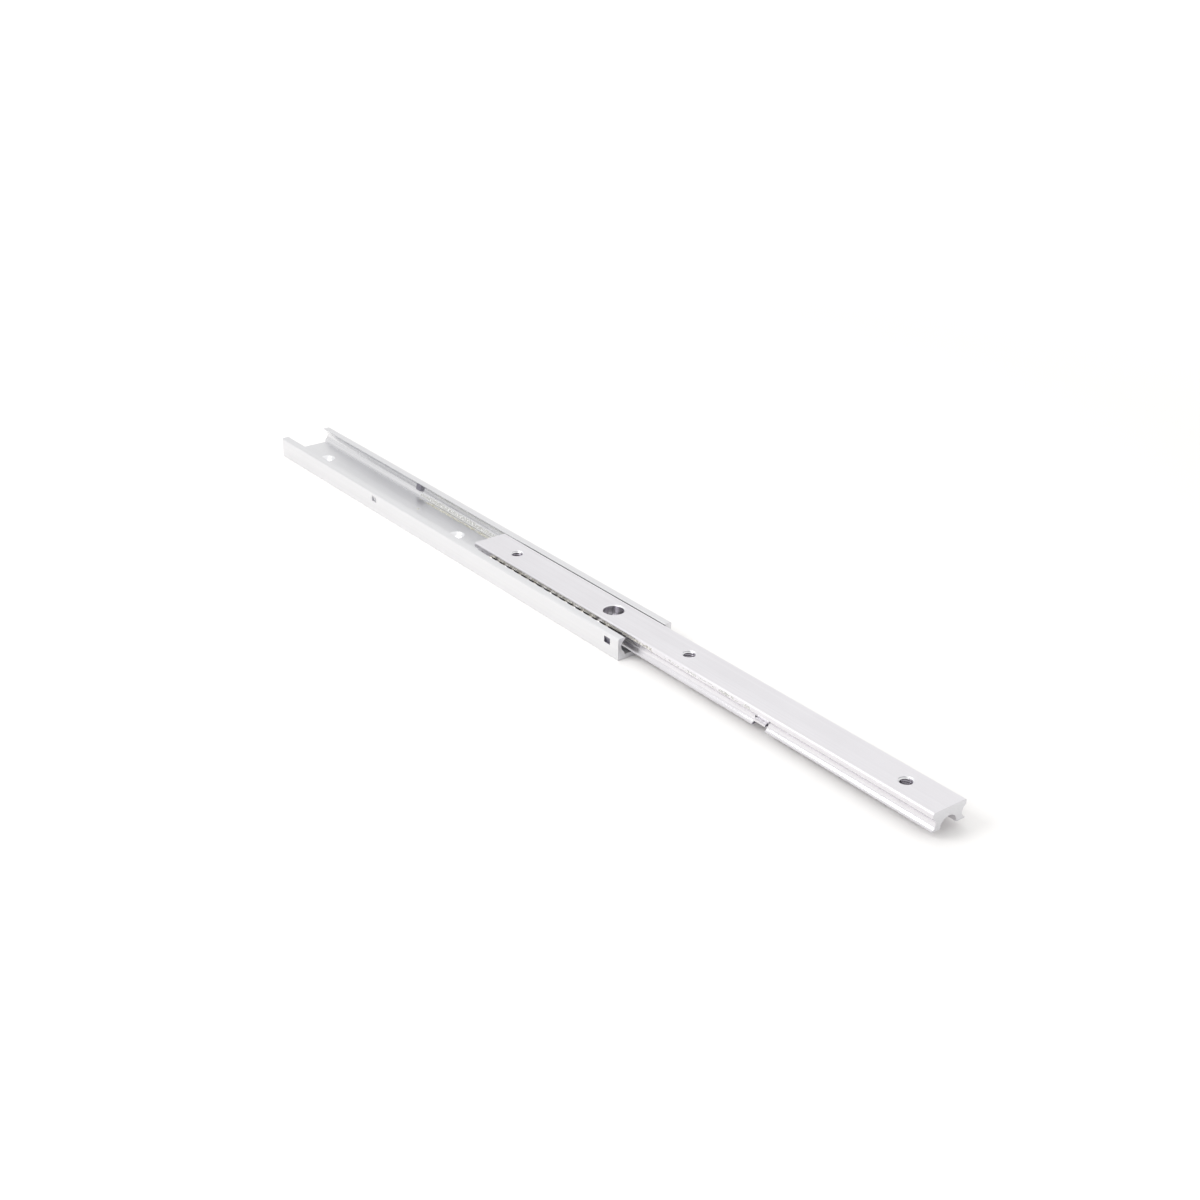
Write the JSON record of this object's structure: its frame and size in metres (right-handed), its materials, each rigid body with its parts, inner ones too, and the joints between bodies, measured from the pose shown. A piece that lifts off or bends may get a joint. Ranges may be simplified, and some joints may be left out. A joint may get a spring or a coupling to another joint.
{
  "type": "drawer slide",
  "caption": "Miniature ball-bearing drawer slide: a C-shaped outer rail, an inner rail that slides out of it on a row of balls along each side, and stops formed in the rails.",
  "frame": {"origin": "centre of the outer rail's mounting face, on the axis of its middle screw hole", "axes": "+X along the rails, the way the slide opens; +Z from the cabinet side to the drawer side; +Y across the rails"},
  "size_m": [0.32, 0.02, 0.0078],
  "materials": {
    "outer_aluminium": "satin clear anodised",
    "inner_aluminium": "satin clear anodised, fine lengthwise lines",
    "ball_steel": "polished bearing steel"
  },
  "bodies": {
    "outer": {"outer_rail": "outer_aluminium"},
    "inner": {"inner_rail": "inner_aluminium"},
    "balls_left": {"ball_left_01": "ball_steel", "ball_left_02": "ball_steel", "ball_left_03": "ball_steel", "ball_left_04": "ball_steel", "ball_left_05": "ball_steel", "ball_left_06": "ball_steel", "ball_left_07": "ball_steel", "ball_left_08": "ball_steel", "ball_left_09": "ball_steel", "ball_left_10": "ball_steel", "ball_left_11": "ball_steel", "ball_left_12": "ball_steel", "ball_left_13": "ball_steel", "ball_left_14": "ball_steel", "ball_left_15": "ball_steel", "ball_left_16": "ball_steel"},
    "balls_right": {"ball_right_01": "ball_steel", "ball_right_02": "ball_steel", "ball_right_03": "ball_steel", "ball_right_04": "ball_steel", "ball_right_05": "ball_steel", "ball_right_06": "ball_steel", "ball_right_07": "ball_steel", "ball_right_08": "ball_steel", "ball_right_09": "ball_steel", "ball_right_10": "ball_steel", "ball_right_11": "ball_steel", "ball_right_12": "ball_steel", "ball_right_13": "ball_steel", "ball_right_14": "ball_steel", "ball_right_15": "ball_steel", "ball_right_16": "ball_steel"}
  },
  "joints": [
    {"name": "inner_slide", "type": "slide", "parent": "outer", "child": "inner", "axis": [1, 0, 0], "range_m": [-0.12, 0]},
    {"name": "balls_left_slide", "type": "slide", "parent": "outer", "child": "balls_left", "axis": [1, 0, 0], "range_m": [-0.06, 0]},
    {"name": "balls_right_slide", "type": "slide", "parent": "outer", "child": "balls_right", "axis": [1, 0, 0], "range_m": [-0.06, 0]}
  ],
  "couplings": [
    {"joint": "balls_left_slide", "follows": "inner_slide", "ratio": 0.5},
    {"joint": "balls_right_slide", "follows": "inner_slide", "ratio": 0.5}
  ]
}
